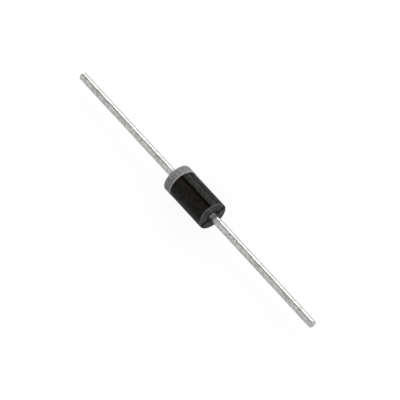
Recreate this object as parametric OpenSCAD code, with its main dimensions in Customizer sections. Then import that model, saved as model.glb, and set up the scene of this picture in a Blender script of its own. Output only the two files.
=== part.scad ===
// Axial rectifier diode: a moulded body on two tinned wire leads, lying along X.
// The cathode and its printed band are at -X, the anode at +X. The mould parts in the XY plane.

/* [Body] */
// Diameter of the moulded body
body_d = 4.95; // [4:0.05:6]
// Length of the body over the ridges of its end faces
body_l = 9.5; // [7.5:0.1:12]
// Slope of each half of an end face away from its ridge, in degrees
end_draft = 3.5; // [0.5:0.5:8]
// Radius that rounds both rims
rim_r = 0.3; // [0.1:0.05:0.5]
// Height of the parting line above the moulding
seam_h = 0.02; // [0.01:0.01:0.05]
// Width of the parting line
seam_w = 0.1; // [0.06:0.02:0.2]
// Rim diameter of the dish round each lead
dish_d = 2.2; // [1.9:0.1:3]
// Depth of the dish below the ridge
dish_h = 0.2; // [0.1:0.05:0.4]

/* [Cathode band] */
// Width of the printed band, from the ridge of the cathode end
band_w = 1.7; // [0.8:0.05:3]
// Thickness of the printed band
band_t = 0.04; // [0.02:0.01:0.08]

/* [Leads] */
// Diameter of the wire
lead_d = 1.32; // [1:0.02:1.6]
// Length of each lead outside the body
lead_l = 25.4; // [10:0.1:40]
// Bevel left on the cut end of a lead
tip_bevel = 0.08; // [0.02:0.02:0.2]
// Diameter of the head that carries the die
head_d = 2.6; // [2.4:0.1:3.2]
// Thickness of the head
head_t = 0.8; // [0.4:0.1:1.2]
// Bevel on the head's edges
head_bevel = 0.1; // [0.05:0.05:0.2]
// Length of the taper from the head down to the wire
neck_l = 0.6; // [0.3:0.1:1]
// Height of the taper above the wire, where it meets the head
neck_h = 0.3; // [0.1:0.05:0.35]
// Length of wire between the taper and the lock ring
ring_gap = 0.4; // [0.2:0.1:0.8]
// Width of the ring that locks a lead in the moulding
ring_w = 0.4; // [0.2:0.1:0.6]
// Height of the lock ring above the wire
ring_h = 0.22; // [0.1:0.02:0.3]
// Height of the tin collar where a lead leaves the body
collar_h = 0.08; // [0.04:0.02:0.16]
// Length over which the tin collar tapers down to the wire
collar_l = 0.55; // [0.3:0.05:1]

/* [Junction] */
// Side of the square silicon die
die_w = 2.1; // [1.6:0.1:2.6]
// Thickness of the die
die_t = 0.28; // [0.2:0.02:0.4]
// Diameter of each solder disc
solder_d = 1.9; // [1.2:0.1:2]
// Thickness of each solder disc
solder_t = 0.06; // [0.04:0.01:0.12]
// Cover of the coating beyond the corners of the die
coat_h = 0.3; // [0.15:0.05:0.5]
// How far the coating laps each head
coat_lap = 0.4; // [0.2:0.05:0.6]

/* [Fit] */
// Gap between a round face and what is moulded round it
wrap_gap = 0.02; // [0.01:0.01:0.04]

/* [Hidden] */
$fn = 96;

body_r = body_d / 2;
half_l = body_l / 2;
lead_r = lead_d / 2;
head_r = head_d / 2;
solder_r = solder_d / 2;
dish_r = dish_d / 2;

// Places along a lead, measured from the middle of the body
head_x = die_t / 2 + solder_t;
neck_x = head_x + head_t;
wire_x = neck_x + neck_l;
ring_x = wire_x + ring_gap;
dish_x = half_l - dish_h;
tip_x = half_l + lead_l;

// The coating's outline is the arc from one head over the die's corners to the other head
coat_top = die_w / sqrt(2) + coat_h;
coat_half = head_x + coat_lap;
coat_rise = coat_top - head_r;
coat_r = (coat_rise * coat_rise + coat_half * coat_half) / (2 * coat_rise);

// The form is cut from a turned blank this much longer than the body at each end
blank_over = 0.05;
// Cutting shapes run this far past what they cut
past = 1;

// Turns a profile of [radius, place along X] about the X axis
module turned() {
    rotate([0, 90, 0])
        rotate_extrude()
            children();
}

// Half outline of the blank, grown all round by grow
module blank_profile(grow) {
    end_x = half_l + blank_over;
    corner_r = body_r - rim_r;
    corner_x = end_x - rim_r;
    intersection() {
        union() {
            translate([0, -corner_x])
                square([body_r + grow, 2 * corner_x]);
            translate([0, -end_x - grow])
                square([corner_r, 2 * (end_x + grow)]);
            for (side = [-1, 1])
                translate([corner_r, side * corner_x])
                    circle(rim_r + grow);
        }
        translate([0, -end_x - past])
            square([body_r + past, 2 * (end_x + past)]);
    }
}

// Prism whose two ends are the shallow roofs that the mould halves leave
module roofed_prism() {
    reach = body_r + past;
    drop = reach * tan(end_draft);
    rotate([90, 0, 0])
        linear_extrude(2 * reach, center = true)
            polygon([
                [half_l, 0],
                [half_l - drop, reach],
                [-half_l + drop, reach],
                [-half_l, 0],
                [-half_l + drop, -reach],
                [half_l - drop, -reach]
            ]);
}

// The moulding's outer shape, with its sides grown by grow and its end faces where they are
module drafted_form(grow) {
    intersection() {
        turned()
            blank_profile(grow);
        roofed_prism();
    }
}

// The thin raised line that the mould's parting plane leaves, grown by grow
module parting_line(grow) {
    thick = seam_w + 2 * grow;
    proud = seam_h + grow;
    linear_extrude(thick, center = true)
        intersection() {
            union() {
                for (side = [0, 1])
                    mirror([0, side])
                        rotate(-90)
                            blank_profile(proud);
            }
            square([2 * (half_l + seam_h), body_d + 2 * past], center = true);
        }
}

// Outline of the anode lead from its head to its tip, with its radii grown by grow
module lead_profile(grow) {
    polygon([
        [0, head_x],
        [head_r - head_bevel + grow, head_x],
        [head_r + grow, head_x + head_bevel],
        [head_r + grow, neck_x - head_bevel],
        [head_r - head_bevel + grow, neck_x],
        [lead_r + neck_h + grow, neck_x],
        [lead_r + grow, wire_x],
        [lead_r + grow, ring_x],
        [lead_r + ring_h + grow, ring_x + ring_w / 4],
        [lead_r + ring_h + grow, ring_x + ring_w * 3 / 4],
        [lead_r + grow, ring_x + ring_w],
        [lead_r + grow, tip_x - tip_bevel],
        [lead_r - tip_bevel + grow, tip_x],
        [0, tip_x]
    ]);
}

// Tin that the dip leaves round the wire, seated on the floor of the dish
module collar_profile() {
    polygon([
        [0, dish_x],
        [lead_r + collar_h, dish_x],
        [lead_r, dish_x + collar_l],
        [0, dish_x + collar_l]
    ]);
}

module wire_lead() {
    turned() {
        union() {
            lead_profile(0);
            collar_profile();
        }
    }
}

// Half outline of the coating's bulge, grown by grow
module coat_profile(grow) {
    intersection() {
        translate([coat_top - coat_r, 0])
            circle(coat_r + grow);
        translate([0, -coat_half - past])
            square([coat_top + past, 2 * (coat_half + past)]);
    }
}

// Everything that the moulding is cast round
module cavity() {
    turned() {
        union() {
            coat_profile(wrap_gap);
            for (side = [0, 1])
                mirror([0, side])
                    lead_profile(wrap_gap);
            translate([0, -neck_x])
                square([solder_r, 2 * neck_x]);
        }
    }
}

// Shallow cone in an end face round the lead
module dish() {
    floor_r = lead_r + collar_h;
    slope = (dish_r - floor_r) / dish_h;
    turned()
        polygon([
            [0, dish_x],
            [floor_r, dish_x],
            [dish_r + slope * past, half_l + past],
            [0, half_l + past]
        ]);
}

module moulded_body() {
    color([0.06, 0.06, 0.065])
        difference() {
            union() {
                drafted_form(0);
                parting_line(0);
            }
            cavity();
            for (side = [0, 1])
                mirror([side, 0, 0])
                    dish();
        }
}

module cathode_band() {
    inner_edge = -half_l + band_w;
    color([0.55, 0.56, 0.57])
        difference() {
            intersection() {
                union() {
                    drafted_form(band_t);
                    parting_line(band_t);
                }
                roofed_prism();
                translate([inner_edge - body_l, -body_l, -body_l])
                    cube([body_l, 2 * body_l, 2 * body_l]);
            }
            drafted_form(0);
            parting_line(0);
            turned()
                translate([0, -half_l - past])
                    square([body_r - rim_r, body_l]);
        }
}

module cathode_lead() {
    color([0.78, 0.78, 0.77])
        mirror([1, 0, 0])
            wire_lead();
}

module anode_lead() {
    color([0.78, 0.78, 0.77])
        wire_lead();
}

module silicon_die() {
    color([0.25, 0.27, 0.32])
        cube([die_t, die_w, die_w], center = true);
}

// Solder disc on the +X face of the die
module solder_disc() {
    translate([die_t / 2, 0, 0])
        rotate([0, 90, 0])
            cylinder(h = solder_t, r = solder_r);
}

module cathode_solder() {
    color([0.66, 0.67, 0.68])
        mirror([1, 0, 0])
            solder_disc();
}

module anode_solder() {
    color([0.66, 0.67, 0.68])
        solder_disc();
}

module junction_coating() {
    color([0.85, 0.83, 0.78])
        difference() {
            turned()
                difference() {
                    coat_profile(0);
                    for (side = [0, 1])
                        mirror([0, side])
                            lead_profile(wrap_gap);
                    translate([0, -head_x - past])
                        square([solder_r + wrap_gap, 2 * (head_x + past)]);
                }
            silicon_die();
        }
}

moulded_body();
cathode_band();
cathode_lead();
anode_lead();
silicon_die();
cathode_solder();
anode_solder();
junction_coating();
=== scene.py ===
import math
from contextlib import contextmanager

import bmesh
import bpy
from bpy.props import FloatProperty, FloatVectorProperty, IntProperty, PointerProperty
from mathutils import Matrix, Vector, noise


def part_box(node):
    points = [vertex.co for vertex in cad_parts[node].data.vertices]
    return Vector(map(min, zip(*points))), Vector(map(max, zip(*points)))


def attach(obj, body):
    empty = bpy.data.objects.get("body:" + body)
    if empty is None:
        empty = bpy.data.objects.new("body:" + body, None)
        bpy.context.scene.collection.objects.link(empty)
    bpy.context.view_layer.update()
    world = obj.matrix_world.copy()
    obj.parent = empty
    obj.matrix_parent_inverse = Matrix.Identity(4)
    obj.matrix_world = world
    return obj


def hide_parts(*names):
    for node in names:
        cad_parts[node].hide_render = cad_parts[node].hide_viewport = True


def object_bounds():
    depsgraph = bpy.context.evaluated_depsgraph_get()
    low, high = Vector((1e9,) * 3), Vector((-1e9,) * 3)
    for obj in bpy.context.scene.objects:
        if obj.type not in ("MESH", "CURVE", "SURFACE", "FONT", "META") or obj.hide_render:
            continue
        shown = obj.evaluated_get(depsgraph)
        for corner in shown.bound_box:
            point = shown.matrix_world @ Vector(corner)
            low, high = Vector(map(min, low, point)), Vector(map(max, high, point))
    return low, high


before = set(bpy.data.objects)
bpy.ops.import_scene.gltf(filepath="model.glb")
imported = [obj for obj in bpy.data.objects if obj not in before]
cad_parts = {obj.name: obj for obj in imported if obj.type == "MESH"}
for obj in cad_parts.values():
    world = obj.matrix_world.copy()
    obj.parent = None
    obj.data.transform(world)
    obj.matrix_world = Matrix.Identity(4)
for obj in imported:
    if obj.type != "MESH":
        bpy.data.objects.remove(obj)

bl_info = {
    "name": "Axial Rectifier Diode",
    "version": (1, 0, 0),
    "blender": (4, 5, 0),
    "location": "View3D > Sidebar > Diode",
    "description": "Finishes a packed axial rectifier diode and sets up its studio",
    "category": "Object",
}

# Pieces are shaped in millimetres and brought to metres when they are done.
MM = 0.001
CAD_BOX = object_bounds()


def node_span(name):
    """Lowest and highest corner of a node of the frame, in millimetres."""
    low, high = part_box(name)
    return low / MM, high / MM


BODY_LOW, BODY_HIGH = node_span("moulded_body")
BAND_HIGH = node_span("cathode_band")[1]
LEAD_LOW, LEAD_HIGH = node_span("anode_lead")
COAT_HIGH = node_span("junction_coating")[1]

# The parting line stands this far outside the body's own surface.
SEAM_ROOM = 0.02
BODY_RADIUS = (BODY_HIGH.y - BODY_LOW.y) / 2 - SEAM_ROOM
HALF_LENGTH = BODY_HIGH.x - SEAM_ROOM

# Points nearer to each other than this are one point.
WELD = 1e-5

# Below this angle, in degrees, two faces are shaded as one surface.
BODY_CREASE = 30
LEAD_CREASE = 35


# --- Sizes and colours that a user would change ---------------------------------------------

class BodySizes(bpy.types.PropertyGroup):
    """The black moulding, in millimetres."""
    seam_height: FloatProperty(
        name="Parting line height", description="How far the parting line stands proud",
        default=0.02, min=0.005, max=0.05)
    seam_width: FloatProperty(
        name="Parting line width", description="Width of the parting line",
        default=0.1, min=0.05, max=0.2)
    end_draft: FloatProperty(
        name="End draft", description="Slope of each half of an end face",
        default=math.radians(3.5), min=math.radians(0.5), max=math.radians(8), subtype="ANGLE")
    rim_radius: FloatProperty(
        name="Rim radius", description="Rounding of the rims",
        default=0.12, min=0.05, max=0.4)
    dish_radius: FloatProperty(
        name="Dish radius", description="Radius of the dish round each lead",
        default=1.1, min=0.9, max=1.5)
    dish_depth: FloatProperty(
        name="Dish depth", description="Depth of the dish below the ridge",
        default=0.2, min=0.1, max=0.4)
    wrap_gap: FloatProperty(
        name="Wrap gap", description="Gap between the moulding and what it wraps",
        default=0.02, min=0.01, max=0.04)
    segments: IntProperty(
        name="Segments", description="Faces round the moulding",
        default=192, min=64, max=384)


class BandSizes(bpy.types.PropertyGroup):
    """The printed cathode band, in millimetres."""
    thickness: FloatProperty(
        name="Ink thickness", description="Thickness of the printed ink",
        default=0.03, min=0.01, max=0.04)
    wander: FloatProperty(
        name="Edge wander", description="How far the ink's inner edge strays from a true circle",
        default=0.02, min=0, max=0.1)


class LeadSizes(bpy.types.PropertyGroup):
    """The tinned wire leads, in millimetres."""
    wire_radius: FloatProperty(
        name="Wire radius", description="Radius of the tinned wire",
        default=0.66, min=0.5, max=0.8)
    head_thickness: FloatProperty(
        name="Head thickness", description="Thickness of the head that carries the die",
        default=0.8, min=0.4, max=1.2)
    head_bevel: FloatProperty(
        name="Head bevel", description="Bevel on the head's edges",
        default=0.1, min=0.05, max=0.2)
    neck_length: FloatProperty(
        name="Neck length", description="Length of the taper behind the head",
        default=0.6, min=0.3, max=1)
    neck_height: FloatProperty(
        name="Neck height", description="Height of the taper above the wire at the head",
        default=0.3, min=0.1, max=0.35)
    ring_gap: FloatProperty(
        name="Ring gap", description="Wire between the taper and the lock ring",
        default=0.4, min=0.2, max=0.8)
    ring_width: FloatProperty(
        name="Ring width", description="Width of the lock ring",
        default=0.4, min=0.2, max=0.6)
    ring_height: FloatProperty(
        name="Ring height", description="Height of the lock ring above the wire",
        default=0.22, min=0.1, max=0.3)
    collar_height: FloatProperty(
        name="Collar height", description="Height of the tin collar where a lead leaves the body",
        default=0.08, min=0.04, max=0.16)
    collar_length: FloatProperty(
        name="Collar length", description="Length over which the tin collar tapers",
        default=0.55, min=0.3, max=1)
    tip_bevel: FloatProperty(
        name="Tip bevel", description="Bevel on the cut end",
        default=0.08, min=0.02, max=0.2)
    ripple: FloatProperty(
        name="Tin ripple", description="Depth of the hollows in the dipped tin",
        default=0.012, min=0, max=0.03)
    segments: IntProperty(
        name="Segments", description="Faces round a lead",
        default=64, min=24, max=128)


class Finishes(bpy.types.PropertyGroup):
    """Colours of the finishes, as linear values."""
    epoxy: FloatVectorProperty(
        name="Epoxy", description="Black moulding compound", subtype="COLOR", size=3,
        default=(0.0034, 0.0024, 0.0015), min=0, max=1)
    # Painted reflection: the end faces get this lighter colour in place of the pale floor reflected
    # in them.
    epoxy_end_painted_reflection: FloatVectorProperty(
        name="Epoxy ends", description="Moulding compound on the end faces", subtype="COLOR",
        size=3, default=(0.036, 0.0345, 0.035), min=0, max=1)
    # Painted highlight: this pale rim colour stands in for the thin line of light that a rounded
    # rim catches. It is not wear.
    epoxy_rim_painted_highlight: FloatVectorProperty(
        name="Rubbed rims", description="Moulding compound where the rims are rubbed",
        subtype="COLOR", size=3, default=(0.135, 0.13, 0.127), min=0, max=1)
    ink: FloatVectorProperty(
        name="Band ink", description="Silver-grey band ink", subtype="COLOR", size=3,
        default=(0.215, 0.211, 0.209), min=0, max=1)
    tin: FloatVectorProperty(
        name="Tin", description="Dipped tin on the leads", subtype="COLOR", size=3,
        default=(0.74, 0.738, 0.72), min=0, max=1)
    floor: FloatVectorProperty(
        name="Floor", description="Paper that the diode lies on", subtype="COLOR", size=3,
        default=(0.82, 0.82, 0.82), min=0, max=1)


class Studio(bpy.types.PropertyGroup):
    """The camera and the lights."""
    azimuth: FloatProperty(
        name="Azimuth", description="Camera's bearing, from -Y towards +X",
        default=math.radians(79.99), subtype="ANGLE")
    elevation: FloatProperty(
        name="Elevation", description="Camera's height above the horizon",
        default=math.radians(59.52), subtype="ANGLE")
    roll: FloatProperty(
        name="Roll", description="Turn of the camera about its line of sight",
        default=math.radians(-31.17), subtype="ANGLE")
    distance: FloatProperty(
        name="Distance", description="Camera's distance", default=0.609, min=0.1, max=5,
        unit="LENGTH")
    lens: FloatProperty(
        name="Lens", description="Focal length, in millimetres", default=355.6, min=20, max=900)
    aim_right: FloatProperty(
        name="Aim right", description="How far right of the body's middle the camera looks",
        default=0.00080, unit="LENGTH")
    aim_up: FloatProperty(
        name="Aim up", description="How far above the body's middle the camera looks",
        default=-0.00044, unit="LENGTH")


# --- Shader maths and materials --------------------------------------------------------------

class Field:
    """A number that varies over a surface. Arithmetic on fields adds Math nodes."""

    def __init__(self, recipe, socket):
        self.recipe = recipe
        self.socket = socket

    def math(self, operation, *others):
        """A Math node on this field and the others."""
        values = dict(enumerate((self, *others)))
        made = self.recipe.node("ShaderNodeMath", {"operation": operation}, values)
        return Field(self.recipe, made.outputs[0])

    def reflected(self, operation, other):
        """A Math node with the other value first."""
        made = self.recipe.node("ShaderNodeMath", {"operation": operation}, {0: other, 1: self})
        return Field(self.recipe, made.outputs[0])

    def __add__(self, other):
        return self.math("ADD", other)

    def __radd__(self, other):
        return self.reflected("ADD", other)

    def __sub__(self, other):
        return self.math("SUBTRACT", other)

    def __rsub__(self, other):
        return self.reflected("SUBTRACT", other)

    def __mul__(self, other):
        return self.math("MULTIPLY", other)

    def __rmul__(self, other):
        return self.reflected("MULTIPLY", other)

    def __abs__(self):
        return self.math("ABSOLUTE")

    def above(self, edge, blur):
        """0 below the edge and 1 above it, with a smooth step that is blur wide."""
        made = self.recipe.node(
            "ShaderNodeMapRange",
            {"interpolation_type": "SMOOTHSTEP"},
            {"Value": self, "From Min": edge - blur / 2, "From Max": edge + blur / 2})
        return Field(self.recipe, made.outputs[0])


class Recipe:
    """The nodes of a material or of the world, under construction."""

    def __init__(self, owner):
        self.owner = owner
        owner.use_nodes = True
        self.tree = owner.node_tree
        self.tree.nodes.clear()

    def node(self, kind, settings=None, sockets=None):
        """Adds a node, then sets its settings, then fills or links its sockets."""
        made = self.tree.nodes.new(kind)
        for name, value in (settings or {}).items():
            setattr(made, name, value)
        for name, value in (sockets or {}).items():
            source = value.socket if isinstance(value, Field) else value
            if isinstance(source, bpy.types.NodeSocket):
                self.tree.links.new(source, made.inputs[name])
            else:
                made.inputs[name].default_value = source
        return made

    def place(self):
        """Object coordinates in millimetres."""
        coordinates = self.node("ShaderNodeTexCoord")
        scaled = self.node(
            "ShaderNodeVectorMath", {"operation": "SCALE"},
            {0: coordinates.outputs["Object"], "Scale": 1 / MM})
        return scaled.outputs[0]

    def stretched(self, place, stretch):
        """Coordinates scaled by a different number along each axis."""
        made = self.node(
            "ShaderNodeVectorMath", {"operation": "MULTIPLY"}, {0: place, 1: stretch})
        return made.outputs[0]

    def axes(self, vector):
        """The three numbers of a vector, as fields."""
        made = self.node("ShaderNodeSeparateXYZ", None, {0: vector})
        return [Field(self, output) for output in made.outputs]

    def grain(self, place, per_mm, detail=2.0, roughness=0.5):
        """Noise from 0 to 1 with that many features to a millimetre."""
        made = self.node(
            "ShaderNodeTexNoise", {"noise_dimensions": "3D"},
            {"Vector": place, "Scale": per_mm, "Detail": detail, "Roughness": roughness})
        return Field(self, made.outputs[0])

    def mix(self, share, low, high):
        """A colour that runs from low to high with the share."""
        # A Mix node has sockets for every data type, and these are the ones for colours.
        first, second, result = 6, 7, 2
        made = self.node(
            "ShaderNodeMix", {"data_type": "RGBA"},
            {"Factor": share, first: colour(low), second: colour(high)})
        return made.outputs[result]

    def bump(self, height, depth_mm):
        """A normal from a height field. depth_mm is how deep a step of 1 would be."""
        sockets = {"Height": height, "Distance": depth_mm * MM, "Strength": 1.0}
        return self.node("ShaderNodeBump", None, sockets).outputs[0]

    def surface(self, shader, output="ShaderNodeOutputMaterial"):
        """Ends the recipe with that shader, and returns its material or world."""
        self.node(output, None, {"Surface": shader.outputs[0]})
        return self.owner


def material_recipe(name):
    return Recipe(bpy.data.materials.new(name))


def colour(value):
    """A socket as it is, or three numbers with an alpha of 1."""
    return value if isinstance(value, bpy.types.NodeSocket) else (*value, 1.0)


def scaled(rgb, factor):
    """A lighter or darker shade of a colour."""
    return tuple(channel * factor for channel in rgb)


def epoxy_finish(colours, sizes):
    """Black moulding compound: resin gloss over dull filler, with painted light: a painted
    reflection that lightens the end faces, a painted highlight on the rims, and painted shade along
    the parting line and at the lip of each dish.
    """
    edge_blur = 0.05
    # Half widths of the painted shade along the parting line and round the lip of each dish.
    seam_shade_half_width = sizes.seam_width * 1.9
    lip_half_width = 0.07
    recipe = material_recipe("black_epoxy")
    place = recipe.place()
    x, y, z = recipe.axes(place)
    radius = (y * y + z * z).math("SQRT")
    inset = HALF_LENGTH - math.tan(sizes.end_draft) * abs(z) - abs(x)
    grain = recipe.grain(place, per_mm=8.0, detail=3.0)
    blotch = recipe.grain(place, per_mm=2.2, detail=4.0, roughness=0.65).above(0.5, blur=0.24)
    specks = recipe.grain(place, per_mm=16.0, detail=1.0).above(0.66, blur=0.08)

    rim = sizes.rim_radius
    near_end = 1 - inset.above(sizes.dish_depth + 0.1, blur=0.1)
    on_end = near_end * (1 - radius.above(BODY_RADIUS - rim * 0.6, edge_blur))
    on_rim = (1 - inset.above(rim, edge_blur)) * radius.above(BODY_RADIUS - rim, edge_blur)
    # Painted shade: a black line along the parting line across the end faces, wider than the raised
    # line, and a black ring at the lip of each dish.
    seam_shade = 1 - abs(z).above(seam_shade_half_width, edge_blur)
    dish_lip_shade = 1 - abs(radius - sizes.dish_radius).above(lip_half_width, blur=0.06)
    painted_shade = near_end * seam_shade.math("MAXIMUM", dish_lip_shade * 0.9) * (1 - on_rim)

    side = recipe.mix(blotch, scaled(colours.epoxy, 0.6), scaled(colours.epoxy, 1.4))
    speckled = recipe.mix(specks * 0.3, side, scaled(colours.epoxy, 6.0))
    # Painted reflection: lightens the end faces, patchy with the grain.
    ended = recipe.mix(on_end * (0.55 + 0.6 * grain), speckled, colours.epoxy_end_painted_reflection)
    # Painted highlight along the rims, patchy with the blotches.
    highlighted = recipe.mix(on_rim * (0.35 + 0.65 * blotch), ended, colours.epoxy_rim_painted_highlight)

    gloss = recipe.node("ShaderNodeBsdfPrincipled", None, {
        "Base Color": highlighted,
        "Roughness": 0.1 + 0.08 * grain,
        "Specular IOR Level": 0.34,
        "Normal": recipe.bump(grain, depth_mm=0.003),
    })
    matte = recipe.node("ShaderNodeBsdfPrincipled", None, {
        "Base Color": highlighted,
        "Roughness": 0.9,
        "Specular IOR Level": 0.02,
    })
    # A flat black that stands in for shade, laid over the skin where the painted shade falls.
    shade_black = recipe.node(
        "ShaderNodeBsdfDiffuse", None, {"Color": colour((0.001, 0.001, 0.001))})
    filler = 0.34 + 0.4 * blotch - 0.3 * on_end
    skin = recipe.node(
        "ShaderNodeMixShader", None, {0: filler, 1: gloss.outputs[0], 2: matte.outputs[0]})
    shader = recipe.node(
        "ShaderNodeMixShader", None, {0: painted_shade, 1: skin.outputs[0], 2: shade_black.outputs[0]})
    return recipe.surface(shader)


def ink_finish(colours):
    """Silver-grey printing ink: metal flake in dull binder, thick at its edge, thin on the rim."""
    recipe = material_recipe("band_ink")
    place = recipe.place()
    x = recipe.axes(place)[0]
    flake = recipe.grain(place, per_mm=3.6, detail=3.0, roughness=0.75)
    cloud = recipe.grain(place, per_mm=1.3, detail=3.0)
    ridge = x.above(BAND_HIGH.x - 0.2, blur=0.1)
    thin = (0 - x).above(HALF_LENGTH - 0.16, blur=0.2)
    base = recipe.mix(
        flake.above(0.5, blur=0.26), scaled(colours.ink, 0.72), scaled(colours.ink, 1.4))
    clouded = recipe.mix(cloud.above(0.52, blur=0.3) * 0.45, base, scaled(colours.ink, 0.7))
    thick = recipe.mix(ridge * 0.75, clouded, scaled(colours.ink, 1.75))
    worn = recipe.mix(thin * (0.5 + 0.5 * flake), thick, scaled(colours.ink, 0.25))
    shader = recipe.node("ShaderNodeBsdfPrincipled", None, {
        "Base Color": worn,
        "Roughness": 0.5 + 0.15 * flake,
        "Specular IOR Level": 0.15,
        "Normal": recipe.bump(flake, depth_mm=0.004),
    })
    return recipe.surface(shader)


def tin_finish(colours):
    """Dipped tin: bright metal with soft hollows, dull patches and faint lines along the wire."""
    recipe = material_recipe("dipped_tin")
    place = recipe.place()
    slightly_long = recipe.stretched(place, (0.8, 1.0, 1.0))
    drawn_long = recipe.stretched(place, (0.06, 1.0, 1.0))
    hollows = recipe.grain(slightly_long, per_mm=2.2, detail=3.0, roughness=0.6)
    pores = recipe.grain(place, per_mm=9.0, detail=2.0, roughness=0.6)
    lines = recipe.grain(drawn_long, per_mm=7.0)
    dull = hollows.above(0.5, blur=0.2)
    base = recipe.mix(dull, scaled(colours.tin, 1.08), scaled(colours.tin, 0.72))
    pitted = recipe.mix(pores.above(0.58, blur=0.14) * 0.5, base, scaled(colours.tin, 0.45))
    height = hollows * 0.6 + pores * 0.25 + lines * 0.15
    shader = recipe.node("ShaderNodeBsdfPrincipled", None, {
        "Base Color": pitted,
        "Metallic": 1.0,
        "Roughness": 0.14 + 0.12 * dull + 0.06 * pores,
        "Normal": recipe.bump(height, depth_mm=0.05),
    })
    return recipe.surface(shader)


def silicon_finish():
    """Diced silicon: dark blue-grey crystal with fine saw lines."""
    dark, pale = (0.05, 0.06, 0.085), (0.1, 0.115, 0.15)
    recipe = material_recipe("diced_silicon")
    place = recipe.place()
    lines = recipe.grain(recipe.stretched(place, (12.0, 0.3, 0.3)), per_mm=2.0)
    shader = recipe.node("ShaderNodeBsdfPrincipled", None, {
        "Base Color": recipe.mix(lines, dark, pale),
        "Metallic": 0.6,
        "Roughness": 0.22 + 0.2 * lines,
        "Normal": recipe.bump(lines, depth_mm=0.003),
    })
    return recipe.surface(shader)


def solder_finish():
    """Reflowed solder: soft grey metal with a frosted skin."""
    dark, pale = (0.3, 0.3, 0.31), (0.5, 0.5, 0.5)
    recipe = material_recipe("reflowed_solder")
    frost = recipe.grain(recipe.place(), per_mm=11.0, detail=3.0)
    shader = recipe.node("ShaderNodeBsdfPrincipled", None, {
        "Base Color": recipe.mix(frost, dark, pale),
        "Metallic": 1.0,
        "Roughness": 0.34 + 0.2 * frost,
        "Normal": recipe.bump(frost, depth_mm=0.006),
    })
    return recipe.surface(shader)


def silicone_finish():
    """Cured silicone coating: milky, soft and slightly uneven."""
    dark, pale = (0.62, 0.59, 0.52), (0.78, 0.76, 0.7)
    recipe = material_recipe("silicone_coating")
    cloud = recipe.grain(recipe.place(), per_mm=1.8, detail=3.0)
    shader = recipe.node("ShaderNodeBsdfPrincipled", None, {
        "Base Color": recipe.mix(cloud, dark, pale),
        "Roughness": 0.32 + 0.1 * cloud,
        "Subsurface Weight": 0.2,
        "Subsurface Scale": 0.3 * MM,
        "Normal": recipe.bump(cloud, depth_mm=0.03),
    })
    return recipe.surface(shader)


# --- Modelling helpers -----------------------------------------------------------------------

def deselect_everything():
    bpy.ops.object.select_all(action="DESELECT")


def make_active(piece):
    deselect_everything()
    piece.select_set(True)
    bpy.context.view_layer.objects.active = piece


def newest(name):
    """The object that the last primitive or duplicate operator made, renamed."""
    piece = bpy.context.view_layer.objects.active
    piece.name = name
    piece.data.name = name
    return piece


@contextmanager
def editing(piece):
    """Edit mode on one piece, with nothing selected at first."""
    make_active(piece)
    bpy.ops.object.mode_set(mode="EDIT")
    bpy.ops.mesh.select_all(action="DESELECT")
    try:
        yield piece
    finally:
        bpy.ops.object.mode_set(mode="OBJECT")


def pick(piece, kind, test):
    """Selects the vertices, edges or faces that pass the test, and nothing else."""
    bpy.ops.mesh.select_mode(type=kind)
    bpy.ops.mesh.select_all(action="DESELECT")
    mesh = bmesh.from_edit_mesh(piece.data)
    mesh.normal_update()
    items = {"VERT": mesh.verts, "EDGE": mesh.edges, "FACE": mesh.faces}[kind]
    chosen = [item for item in items if test(item)]
    if not chosen:
        raise RuntimeError(f"{piece.name} has nothing to shape where its {kind.lower()}s should be")
    for item in chosen:
        item.select_set(True)
    mesh.select_flush_mode()
    bmesh.update_edit_mesh(piece.data)


def settle(piece):
    """Merges doubles, turns normals outward, brings the piece to metres and applies its place."""
    with editing(piece):
        bpy.ops.mesh.select_all(action="SELECT")
        bpy.ops.mesh.remove_doubles(threshold=WELD)
        bpy.ops.mesh.normals_make_consistent(inside=False)
    make_active(piece)
    piece.scale = (MM, MM, MM)
    bpy.ops.object.transform_apply(location=True, rotation=True, scale=True)


def smooth(piece, crease):
    """Shades the piece smooth, apart from edges sharper than the crease, in degrees."""
    make_active(piece)
    bpy.ops.object.shade_smooth_by_angle(angle=math.radians(crease))
    modifier = piece.modifiers.new("even_normals", "WEIGHTED_NORMAL")
    modifier.keep_sharp = True
    bpy.ops.object.modifier_apply(modifier=modifier.name)


def turned_solid(name, outline, segments):
    """A solid turned about X, from its outline of (place along X, radius)."""
    start_x, start_r = outline[0]
    deselect_everything()
    bpy.ops.mesh.primitive_circle_add(
        vertices=segments, radius=start_r, fill_type="NGON",
        location=(start_x, 0, 0), rotation=(0, math.pi / 2, 0))
    piece = newest(name)
    bpy.ops.object.transform_apply(location=True, rotation=True, scale=True)
    with editing(piece):
        bpy.ops.mesh.select_mode(type="FACE")
        bpy.ops.mesh.select_all(action="SELECT")
        for (from_x, from_r), (to_x, to_r) in zip(outline, outline[1:]):
            bpy.ops.mesh.extrude_region_move(
                TRANSFORM_OT_translate={"value": (to_x - from_x, 0, 0)})
            if to_r != from_r:
                bpy.ops.transform.resize(
                    value=(1, to_r / from_r, to_r / from_r), center_override=(to_x, 0, 0))
        bpy.ops.mesh.select_all(action="SELECT")
        bpy.ops.mesh.normals_make_consistent(inside=False)
    return piece


def cut_by(piece, tool):
    """Takes the tool's solid out of the piece, and removes the tool."""
    make_active(piece)
    modifier = piece.modifiers.new("cut", "BOOLEAN")
    modifier.operation = "DIFFERENCE"
    modifier.solver = "EXACT"
    modifier.object = tool
    bpy.ops.object.modifier_apply(modifier=modifier.name)
    bpy.data.objects.remove(tool, do_unlink=True)


def finish_piece(piece, node, material):
    """Stands the piece in for its node, on the part's one body, with its finish."""
    piece.data.materials.clear()
    piece.data.materials.append(material)
    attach(piece, "root")
    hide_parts(node)


# --- The moulding and its band ---------------------------------------------------------------

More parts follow.
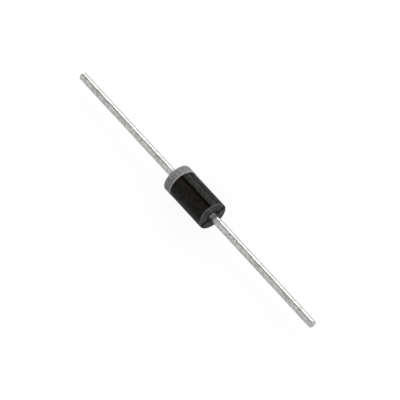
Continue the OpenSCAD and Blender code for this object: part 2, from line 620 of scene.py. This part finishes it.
def drafted_form(name, sizes):
    """A cylinder with roofed ends, rounded rims and the parting line all the way round."""
    spare = 0.1
    rim_steps = 6
    draft = sizes.end_draft
    deselect_everything()
    bpy.ops.mesh.primitive_cylinder_add(
        vertices=sizes.segments, radius=BODY_RADIUS, depth=2 * (HALF_LENGTH + spare),
        end_fill_type="NGON", rotation=(0, math.pi / 2, 0))
    piece = newest(name)
    bpy.ops.object.transform_apply(location=True, rotation=True, scale=True)
    with editing(piece):
        for end in (-1, 1):
            for half in (-1, 1):
                bpy.ops.mesh.select_all(action="SELECT")
                bpy.ops.mesh.bisect(
                    plane_co=(end * HALF_LENGTH, 0, 0),
                    plane_no=(end * math.cos(draft), 0, half * math.sin(draft)),
                    use_fill=True, clear_outer=True, threshold=WELD)

        def on_rim(edge):
            """True between the side, which faces across X, and an end, which faces along it."""
            if len(edge.link_faces) != 2:
                return False
            facing = sorted(abs(face.normal.x) for face in edge.link_faces)
            return facing[0] < 0.1 and facing[1] > 0.9

        pick(piece, "EDGE", on_rim)
        bpy.ops.mesh.bevel(
            offset=sizes.rim_radius, offset_type="OFFSET", segments=rim_steps, profile=0.5,
            affect="EDGES", clamp_overlap=True)
    raise_parting_line(piece, sizes)
    return piece


def raise_parting_line(piece, sizes):
    """Raises the thin line round the moulding in the plane where the mould parts."""
    half_width = sizes.seam_width / 2
    slack = 1e-4
    with editing(piece):
        for side in (-1, 1):
            bpy.ops.mesh.select_all(action="SELECT")
            bpy.ops.mesh.bisect(
                plane_co=(0, 0, side * half_width), plane_no=(0, 0, 1), threshold=WELD)
        pick(piece, "FACE", lambda face: all(
            abs(vert.co.z) < half_width + slack for vert in face.verts))
        bpy.ops.mesh.extrude_region_shrink_fatten(
            TRANSFORM_OT_shrink_fatten={"value": sizes.seam_height})


def hollow_tool(sizes, leads):
    """What the moulding is cast round, with the dish round each lead, as one turned solid."""
    gap = sizes.wrap_gap
    chamber_r = COAT_HIGH.y + gap
    chamber_x = COAT_HIGH.x + leads.head_thickness
    bore_r = leads.wire_radius + leads.neck_height + gap
    floor_x = HALF_LENGTH - sizes.dish_depth
    floor_r = leads.wire_radius + leads.collar_height
    slope = (sizes.dish_radius - floor_r) / sizes.dish_depth
    past = 0.5
    half = [
        (chamber_x, chamber_r),
        (chamber_x, bore_r),
        (floor_x - past, bore_r),
        (floor_x - past, leads.wire_radius + gap),
        (floor_x, leads.wire_radius + gap),
        (floor_x, floor_r),
        (HALF_LENGTH + past, sizes.dish_radius + slope * past),
    ]
    outline = [(-x, r) for x, r in reversed(half)] + half
    return turned_solid("hollow_tool", outline, sizes.segments)


class DIODE_OT_moulding(bpy.types.Operator):
    """Models the black moulding, with its parting line and the cavity that it is cast round"""
    bl_idname = "diode.moulding"
    bl_label = "Moulding"

    def execute(self, context):
        scene = context.scene
        sizes = scene.diode_body
        moulding = drafted_form("moulding", sizes)
        cut_by(moulding, hollow_tool(sizes, scene.diode_leads))
        settle(moulding)
        smooth(moulding, BODY_CREASE)
        epoxy = epoxy_finish(scene.diode_finishes, sizes)
        finish_piece(moulding, "moulded_body", epoxy)
        return {"FINISHED"}


class DIODE_OT_band(bpy.types.Operator):
    """Models the printed band as a skin of ink over the cathode end of the moulding's side"""
    bl_idname = "diode.band"
    bl_label = "Cathode Band"

    def execute(self, context):
        scene = context.scene
        sizes = scene.diode_band
        band = drafted_form("cathode_print", scene.diode_body)
        with editing(band):
            bpy.ops.mesh.select_all(action="SELECT")
            bpy.ops.mesh.bisect(
                plane_co=(BAND_HIGH.x, 0, 0), plane_no=(1, 0, 0),
                clear_outer=True, threshold=WELD)
            pick(band, "FACE", self.off_the_side)
            bpy.ops.mesh.delete(type="FACE")
        self.stray_edge(band, sizes.wander)
        make_active(band)
        ink = band.modifiers.new("ink", "SOLIDIFY")
        ink.thickness = sizes.thickness
        ink.offset = 1.0
        ink.use_even_offset = True
        bpy.ops.object.modifier_apply(modifier=ink.name)
        settle(band)
        smooth(band, BODY_CREASE)
        finish_piece(band, "cathode_band", ink_finish(scene.diode_finishes))
        return {"FINISHED"}

    @staticmethod
    def off_the_side(face):
        """True for the faces of the end and of its parting line, which take no ink."""
        facing_end = -0.8
        ink_reach = 0.15
        middle = face.calc_center_median()
        return face.normal.x < facing_end or middle.yz.length < BODY_RADIUS - ink_reach

    @staticmethod
    def stray_edge(band, wander):
        """Lets the band's inner edge stray from a true circle, as printing does."""
        per_mm = 1.3
        slack = 1e-3
        for vert in band.data.vertices:
            if vert.co.x > BAND_HIGH.x - slack:
                stray = noise.noise(Vector((0, vert.co.y, vert.co.z)) * per_mm)
                vert.co.x -= wander * (0.5 + stray)


# --- The leads -------------------------------------------------------------------------------

def lead_outline(sizes, dish_depth):
    """The anode lead's outline, from the face of its head to its tip."""
    wire_r = sizes.wire_radius
    head_r = LEAD_HIGH.z
    head_x = LEAD_LOW.x
    neck_x = head_x + sizes.head_thickness
    wire_x = neck_x + sizes.neck_length
    ring_x = wire_x + sizes.ring_gap
    ring_r = wire_r + sizes.ring_height
    exit_x = HALF_LENGTH - dish_depth
    exit_step = 0.02
    collar_x = exit_x + sizes.collar_length
    tip_x = LEAD_HIGH.x
    outline = [
        (head_x, head_r - sizes.head_bevel),
        (head_x + sizes.head_bevel, head_r),
        (neck_x - sizes.head_bevel, head_r),
        (neck_x, head_r - sizes.head_bevel),
        (neck_x, wire_r + sizes.neck_height),
        (wire_x, wire_r),
        (ring_x, wire_r),
        (ring_x + sizes.ring_width / 4, ring_r),
        (ring_x + sizes.ring_width * 3 / 4, ring_r),
        (ring_x + sizes.ring_width, wire_r),
        (exit_x - exit_step, wire_r),
        (exit_x, wire_r + sizes.collar_height * 0.9),
    ]
    collar_steps = 8
    collar_curve = 1.6
    for step in range(1, collar_steps + 1):
        share = step / collar_steps
        fall = sizes.collar_height * (1 - share) ** collar_curve
        outline.append((exit_x + share * sizes.collar_length, wire_r + fall))
    wire_steps = 110
    run = tip_x - sizes.tip_bevel - collar_x
    for step in range(1, wire_steps + 1):
        outline.append((collar_x + run * step / wire_steps, wire_r))
    outline.append((tip_x - sizes.tip_bevel * 0.4, wire_r - sizes.tip_bevel * 0.3))
    outline.append((tip_x, wire_r - sizes.tip_bevel))
    return outline


class DIODE_OT_leads(bpy.types.Operator):
    """Models the two tinned wire leads, each in one piece with its head"""
    bl_idname = "diode.leads"
    bl_label = "Leads"

    def execute(self, context):
        scene = context.scene
        sizes = scene.diode_leads
        outline = lead_outline(sizes, scene.diode_body.dish_depth)
        tin = tin_finish(scene.diode_finishes)
        anode = turned_solid("anode_wire", outline, sizes.segments)
        make_active(anode)
        bpy.ops.object.duplicate()
        cathode = newest("cathode_wire")
        with editing(cathode):
            bpy.ops.mesh.select_all(action="SELECT")
            bpy.ops.transform.mirror(
                constraint_axis=(True, False, False), center_override=(0, 0, 0))
        for piece, node in ((anode, "anode_lead"), (cathode, "cathode_lead")):
            self.ripple(piece, sizes)
            settle(piece)
            smooth(piece, LEAD_CREASE)
            finish_piece(piece, node, tin)
        return {"FINISHED"}

    @staticmethod
    def ripple(piece, sizes):
        """Hollows the dipped tin very slightly, so that the wire isn't a perfect cylinder."""
        along, across = 0.9, 1.6
        dimension, spacing, octaves = 0.8, 2.2, 3
        for vert in piece.data.vertices:
            if abs(vert.co.x) < HALF_LENGTH:
                continue
            place = Vector((vert.co.x * along, vert.co.y * across, vert.co.z * across))
            hollow = 0.5 + 0.5 * noise.fractal(place, dimension, spacing, octaves)
            shrink = 1 - sizes.ripple * max(0.0, min(1.0, hollow)) / sizes.wire_radius
            vert.co.y *= shrink
            vert.co.z *= shrink


class DIODE_OT_junction(bpy.types.Operator):
    """Gives the die, the solder and the coating inside the moulding their finishes"""
    bl_idname = "diode.junction"
    bl_label = "Junction"

    def execute(self, context):
        finishes = {
            "silicon_die": silicon_finish(),
            "junction_coating": silicone_finish(),
            "cathode_solder": solder_finish(),
        }
        finishes["anode_solder"] = finishes["cathode_solder"]
        for name, material in finishes.items():
            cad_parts[name].material_slots[0].material = material
        return {"FINISHED"}


# --- Floor, lights and camera ----------------------------------------------------------------

# Cards and lamps hang round the X axis. Their angles are in degrees, from straight up
# towards +Y, and the distances and widths below are in metres.
FLOOR_RADIUS = 2.5
LAMP_REACH = 0.4
FLAG_REACH = 0.36
LIGHT_LENGTH = 1.6


def hung(reach, first, last):
    """Where a flat card hangs that fills the sky between two angles, and how wide it is."""
    turn = Matrix.Rotation(-math.radians((first + last) / 2), 4, "X")
    across = 2 * reach * math.tan(math.radians(last - first) / 2)
    return turn @ Matrix.Translation((0, 0, reach)), across


class DIODE_OT_stage(bpy.types.Operator):
    """Sets up the pale floor, the soft lights and the camera"""
    bl_idname = "diode.stage"
    bl_label = "Stage"

    def execute(self, context):
        scene = context.scene
        scene.view_settings.view_transform = "Standard"
        self.floor(scene.diode_finishes)
        self.world(scene)
        self.lights()
        self.camera(scene, scene.diode_studio)
        return {"FINISHED"}

    def floor(self, colours):
        """Paper that shows the camera a near-white glow and still takes the diode's shadow."""
        glow_strength = 1.04
        glow_share = 0.88
        deselect_everything()
        bpy.ops.mesh.primitive_circle_add(
            vertices=96, radius=FLOOR_RADIUS, fill_type="NGON", location=(0, 0, CAD_BOX[0].z))
        floor = newest("floor")
        recipe = material_recipe("floor_paper")
        path = recipe.node("ShaderNodeLightPath")
        paper = recipe.node("ShaderNodeBsdfDiffuse", None, {"Color": colour(colours.floor)})
        glow = recipe.node("ShaderNodeEmission", None, {"Strength": glow_strength})
        seen = Field(recipe, path.outputs["Is Camera Ray"]) * glow_share
        shader = recipe.node(
            "ShaderNodeMixShader", None, {0: seen, 1: paper.outputs[0], 2: glow.outputs[0]})
        floor.data.materials.append(recipe.surface(shader))

    def world(self, scene):
        """White where the camera sees it, and a soft grey room everywhere else."""
        room_level = 0.5
        recipe = Recipe(bpy.data.worlds.new("studio"))
        path = recipe.node("ShaderNodeLightPath")
        camera = Field(recipe, path.outputs["Is Camera Ray"])
        level = room_level + camera * (1 - room_level)
        white = recipe.node(
            "ShaderNodeBackground", None, {"Color": colour((1, 1, 1)), "Strength": level})
        scene.world = recipe.surface(white, "ShaderNodeOutputWorld")

    def lights(self):
        """Two long softboxes, one on each side, and the dark flag between their edges."""
        self.softbox("broad_softbox", first=-85, last=15, level=0.2)
        self.softbox("bright_softbox", first=38, last=88, level=1.5)
        self.flag("flag", first=16, last=38)

    def flag(self, name, first, last):
        """A long black card between two angles, that only reflections show."""
        place, across = hung(FLAG_REACH, first, last)
        deselect_everything()
        bpy.ops.mesh.primitive_plane_add(size=1)
        flag = newest(name)
        flag.data.transform(place @ Matrix.Diagonal((LIGHT_LENGTH, across, 1, 1)))
        recipe = material_recipe("black_card")
        flag.data.materials.append(recipe.surface(
            recipe.node("ShaderNodeBsdfDiffuse", None, {"Color": colour((0.01, 0.01, 0.01))})))
        flag.visible_camera = False
        flag.visible_diffuse = False
        flag.visible_shadow = False

    def softbox(self, name, first, last, level):
        """A lamp that fills the sky between two angles, as bright as a glow of that level."""
        place, across = hung(LAMP_REACH, first, last)
        lamp = bpy.data.lights.new(name, "AREA")
        lamp.shape = "RECTANGLE"
        lamp.size = LIGHT_LENGTH
        lamp.size_y = across
        lamp.energy = level * math.pi * lamp.size * lamp.size_y
        made = bpy.data.objects.new(name, lamp)
        bpy.context.scene.collection.objects.link(made)
        made.matrix_world = place
        made.visible_camera = False

    def camera(self, scene, studio):
        """The camera, turned about its line of sight and aimed off the body's middle."""
        bearing, rise = studio.azimuth, studio.elevation
        back = Vector((
            math.sin(bearing) * math.cos(rise),
            -math.cos(bearing) * math.cos(rise),
            math.sin(rise)))
        level_right = Vector((math.cos(bearing), math.sin(bearing), 0))
        level_up = back.cross(level_right)
        right = level_right * math.cos(studio.roll) + level_up * math.sin(studio.roll)
        up = back.cross(right)
        target = right * studio.aim_right + up * studio.aim_up
        lens = bpy.data.cameras.new("camera")
        lens.lens = studio.lens
        lens.clip_start = 0.05
        lens.clip_end = 10
        camera = bpy.data.objects.new("camera", lens)
        scene.collection.objects.link(camera)
        turned = Matrix((right, up, back)).transposed().to_4x4()
        camera.matrix_world = Matrix.Translation(target + back * studio.distance) @ turned
        scene.camera = camera


class DIODE_PT_panel(bpy.types.Panel):
    """Lists the steps that make the diode"""
    bl_label = "Axial Diode"
    bl_idname = "DIODE_PT_panel"
    bl_space_type = "VIEW_3D"
    bl_region_type = "UI"
    bl_category = "Diode"

    def draw(self, context):
        for step in STEPS:
            self.layout.operator(step.bl_idname)
        for name in SETTINGS:
            box = self.layout.box()
            group = getattr(context.scene, name)
            for key in group.__annotations__:
                box.prop(group, key)


STEPS = (
    DIODE_OT_moulding, DIODE_OT_band, DIODE_OT_leads, DIODE_OT_junction, DIODE_OT_stage)
SETTINGS = {
    "diode_body": BodySizes,
    "diode_band": BandSizes,
    "diode_leads": LeadSizes,
    "diode_finishes": Finishes,
    "diode_studio": Studio,
}


def register():
    for cls in (*SETTINGS.values(), *STEPS, DIODE_PT_panel):
        bpy.utils.register_class(cls)
    for name, group in SETTINGS.items():
        setattr(bpy.types.Scene, name, PointerProperty(type=group))


def unregister():
    for name in SETTINGS:
        delattr(bpy.types.Scene, name)
    for cls in reversed((*SETTINGS.values(), *STEPS, DIODE_PT_panel)):
        bpy.utils.unregister_class(cls)


def main():
    register()
    bpy.ops.diode.moulding()
    bpy.ops.diode.band()
    bpy.ops.diode.leads()
    bpy.ops.diode.junction()
    bpy.ops.diode.stage()


if __name__ == "__main__":
    main()
